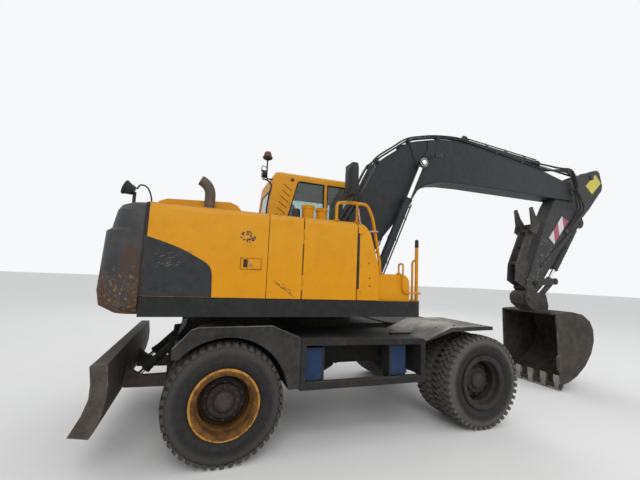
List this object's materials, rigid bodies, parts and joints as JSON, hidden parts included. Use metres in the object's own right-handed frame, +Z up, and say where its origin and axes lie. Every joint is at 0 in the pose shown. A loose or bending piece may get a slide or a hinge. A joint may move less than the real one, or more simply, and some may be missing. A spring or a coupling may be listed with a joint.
{
  "type": "wheeled excavator",
  "caption": "Wheeled excavator with a one-piece boom, arm, bucket and thumb, a rear dozer blade, a turning upper body with a cab, and twin wheels that spin and steer.",
  "frame": {"origin": "on the ground, under the middle of the whole outline at rest", "axes": "+X towards the boom and steered axle, +Y to the cab's side, +Z up"},
  "size_m": [8.2316, 2.75, 4.055],
  "materials": {
    "yellow_paint": "weathered semi-gloss, dusty and chipped",
    "charcoal_paint": "satin, dusty",
    "dusty_frame_paint": "matt, with a film of dust and mud",
    "blue_paint": "worn satin",
    "wheel_paint": "dusty, with rust and grease",
    "tyre": "dusty rubber",
    "worn_steel": "bare and rusty, polished by use",
    "chrome_rod": "polished",
    "engine_iron": "oily",
    "rusty_pipe": "rusty",
    "black_plastic": "matt",
    "window_glass": "lightly tinted, dusty",
    "seat_fabric": "woven"
  },
  "bodies": {
    "chassis": {"chassis_frame": "dusty_frame_paint", "side_frames": "dusty_frame_paint", "tool_boxes": "blue_paint", "rear_fenders": "dusty_frame_paint", "front_fenders": "dusty_frame_paint", "rear_axle": "dusty_frame_paint", "front_axle": "dusty_frame_paint", "blade_brackets": "dusty_frame_paint"},
    "rear_wheel_right": {"tyres_rear_right": "tyre", "rims_rear_right": "wheel_paint"},
    "rear_wheel_left": {"tyres_rear_left": "tyre", "rims_rear_left": "wheel_paint"},
    "knuckle_right": {"knuckle_right": "dusty_frame_paint"},
    "knuckle_left": {"knuckle_left": "dusty_frame_paint"},
    "front_wheel_right": {"tyres_front_right": "tyre", "rims_front_right": "wheel_paint"},
    "front_wheel_left": {"tyres_front_left": "tyre", "rims_front_left": "wheel_paint"},
    "blade": {"blade": "worn_steel"},
    "blade_barrels": {"blade_barrels": "dusty_frame_paint"},
    "blade_rods": {"blade_rods": "chrome_rod"},
    "superstructure": {"deck": "charcoal_paint", "counterweight": "charcoal_paint", "house": "yellow_paint", "engine": "engine_iron", "exhaust": "rusty_pipe", "fillers": "yellow_paint", "handrails": "yellow_paint", "step_box": "yellow_paint", "mirrors": "black_plastic", "lamps": "black_plastic", "cab_shell": "yellow_paint", "cab_glass": "window_glass", "cab_seat": "seat_fabric"},
    "hood": {"hood": "yellow_paint"},
    "door_rear_right": {"door_rear_right": "yellow_paint"},
    "door_front_right": {"door_front_right": "yellow_paint"},
    "door_left": {"door_left": "yellow_paint"},
    "cab_door": {"cab_door": "yellow_paint", "cab_door_glass": "window_glass"},
    "boom": {"boom": "charcoal_paint"},
    "boom_barrels": {"boom_barrels": "charcoal_paint"},
    "boom_rods": {"boom_rods": "chrome_rod"},
    "arm": {"arm": "charcoal_paint", "thumb": "worn_steel"},
    "arm_barrel": {"arm_barrel": "charcoal_paint"},
    "arm_rod": {"arm_rod": "chrome_rod"},
    "bucket_barrel": {"bucket_barrel": "charcoal_paint"},
    "bucket_rod": {"bucket_rod": "chrome_rod"},
    "rocker": {"rocker": "charcoal_paint"},
    "link": {"link": "charcoal_paint"},
    "bucket": {"bucket": "worn_steel"}
  },
  "joints": [
    {"name": "rear_right_spin", "type": "hinge", "parent": "chassis", "child": "rear_wheel_right", "pos_m": [-3.00276, -0.957, 0.515], "axis": [0, 1, 0], "continuous": true},
    {"name": "rear_left_spin", "type": "hinge", "parent": "chassis", "child": "rear_wheel_left", "pos_m": [-3.00276, 0.957, 0.515], "axis": [0, 1, 0], "continuous": true},
    {"name": "steer_right", "type": "hinge", "parent": "chassis", "child": "knuckle_right", "pos_m": [-0.15276, -0.59, 0.515], "axis": [0, 0, 1], "range_deg": [-28, 28]},
    {"name": "steer_left", "type": "hinge", "parent": "chassis", "child": "knuckle_left", "pos_m": [-0.15276, 0.59, 0.515], "axis": [0, 0, 1], "range_deg": [-28.5, 28.5]},
    {"name": "front_right_spin", "type": "hinge", "parent": "knuckle_right", "child": "front_wheel_right", "pos_m": [-0.15276, -0.957, 0.515], "axis": [0, 1, 0], "continuous": true},
    {"name": "front_left_spin", "type": "hinge", "parent": "knuckle_left", "child": "front_wheel_left", "pos_m": [-0.15276, 0.957, 0.515], "axis": [0, 1, 0], "continuous": true},
    {"name": "blade_lift", "type": "hinge", "parent": "chassis", "child": "blade", "pos_m": [-3.48276, 0, 0.52], "axis": [0, 1, 0], "range_deg": [-32, 8]},
    {"name": "blade_barrel_turn", "type": "hinge", "parent": "chassis", "child": "blade_barrels", "pos_m": [-3.46276, 0, 0.9], "axis": [0, 1, 0], "range_deg": [-13.92, 3.48]},
    {"name": "blade_rod_slide", "type": "slide", "parent": "blade_barrels", "child": "blade_rods", "axis": [-0.7071, 0, -0.7071], "range_m": [-0.0325, 0.1301]},
    {"name": "swing", "type": "hinge", "parent": "chassis", "child": "superstructure", "pos_m": [-1.85276, 0, 1.15], "axis": [0, 0, 1], "continuous": true},
    {"name": "hood_lift", "type": "hinge", "parent": "superstructure", "child": "hood", "pos_m": [-2.90676, 0, 2.217], "axis": [0, 1, 0], "range_deg": [0, 65]},
    {"name": "door_rear_right_swing", "type": "hinge", "parent": "superstructure", "child": "door_rear_right", "pos_m": [-3.72876, -1.2445, 1.8], "axis": [0, 0, -1], "range_deg": [0, 110]},
    {"name": "door_front_right_swing", "type": "hinge", "parent": "superstructure", "child": "door_front_right", "pos_m": [-2.37276, -1.2445, 1.8], "axis": [0, 0, 1], "range_deg": [0, 110]},
    {"name": "door_left_swing", "type": "hinge", "parent": "superstructure", "child": "door_left", "pos_m": [-3.72876, 1.2445, 1.8], "axis": [0, 0, 1], "range_deg": [0, 110]},
    {"name": "cab_door_swing", "type": "hinge", "parent": "superstructure", "child": "cab_door", "pos_m": [-1.98876, 1.245, 2.2], "axis": [0, 0, 1], "range_deg": [0, 170]},
    {"name": "boom_lift", "type": "hinge", "parent": "superstructure", "child": "boom", "pos_m": [-1.55276, 0, 1.75], "axis": [0, -1, 0], "range_deg": [-55, 38]},
    {"name": "boom_barrel_turn", "type": "hinge", "parent": "superstructure", "child": "boom_barrels", "pos_m": [-1.07276, 0, 1.5], "axis": [0, -1, 0], "range_deg": [-58.84, 40.65]},
    {"name": "boom_rod_slide", "type": "slide", "parent": "boom_barrels", "child": "boom_rods", "axis": [0.3939, 0, 0.9191], "range_m": [-0.4898, 0.3384]},
    {"name": "arm_swing", "type": "hinge", "parent": "boom", "child": "arm", "pos_m": [3.14724, 0, 3.4], "axis": [0, 1, 0], "range_deg": [-100, 8]},
    {"name": "arm_barrel_turn", "type": "hinge", "parent": "boom", "child": "arm_barrel", "pos_m": [0.69724, 0, 3.985], "axis": [0, 1, 0], "range_deg": [-9.06, 0.72]},
    {"name": "arm_rod_slide", "type": "slide", "parent": "arm_barrel", "child": "arm_rod", "axis": [0.9979, 0, -0.0641], "range_m": [-1.1393, 0.0911]},
    {"name": "bucket_curl", "type": "hinge", "parent": "arm", "child": "bucket", "pos_m": [1.98724, 0, 1.43], "axis": [0, 1, 0], "range_deg": [-10, 132]},
    {"name": "bucket_barrel_turn", "type": "hinge", "parent": "arm", "child": "bucket_barrel", "pos_m": [3.47757, 0, 2.85734], "axis": [0, 1, 0], "range_deg": [-1.79, 0.14]},
    {"name": "bucket_rod_slide", "type": "slide", "parent": "bucket_barrel", "child": "bucket_rod", "axis": [-0.5908, 0, -0.8068], "range_m": [-0.0557, 0.7359]},
    {"name": "rocker_turn", "type": "hinge", "parent": "arm", "child": "rocker", "pos_m": [2.19776, 0, 1.68899], "axis": [0, 1, 0], "range_deg": [-7.72, 101.87]},
    {"name": "link_turn", "type": "hinge", "parent": "rocker", "child": "link", "pos_m": [2.64852, 0, 1.7253], "axis": [0, 1, 0], "range_deg": [-80.57, 6.1]}
  ],
  "couplings": [
    {"joint": "steer_left", "follows": "steer_right", "ratio": 1},
    {"joint": "blade_barrel_turn", "follows": "blade_lift", "ratio": 0.42654},
    {"joint": "blade_rod_slide", "follows": "blade_lift", "m_per_rad": -0.2283},
    {"joint": "boom_barrel_turn", "follows": "boom_lift", "ratio": 1.0489},
    {"joint": "boom_rod_slide", "follows": "boom_lift", "m_per_rad": 0.50027},
    {"joint": "arm_barrel_turn", "follows": "arm_swing", "ratio": 0.08883},
    {"joint": "arm_rod_slide", "follows": "arm_swing", "m_per_rad": 0.63998},
    {"joint": "bucket_barrel_turn", "follows": "bucket_curl", "ratio": -0.0133},
    {"joint": "bucket_rod_slide", "follows": "bucket_curl", "m_per_rad": 0.31316},
    {"joint": "rocker_turn", "follows": "bucket_curl", "ratio": 0.75663},
    {"joint": "link_turn", "follows": "bucket_curl", "ratio": -0.59841}
  ]
}
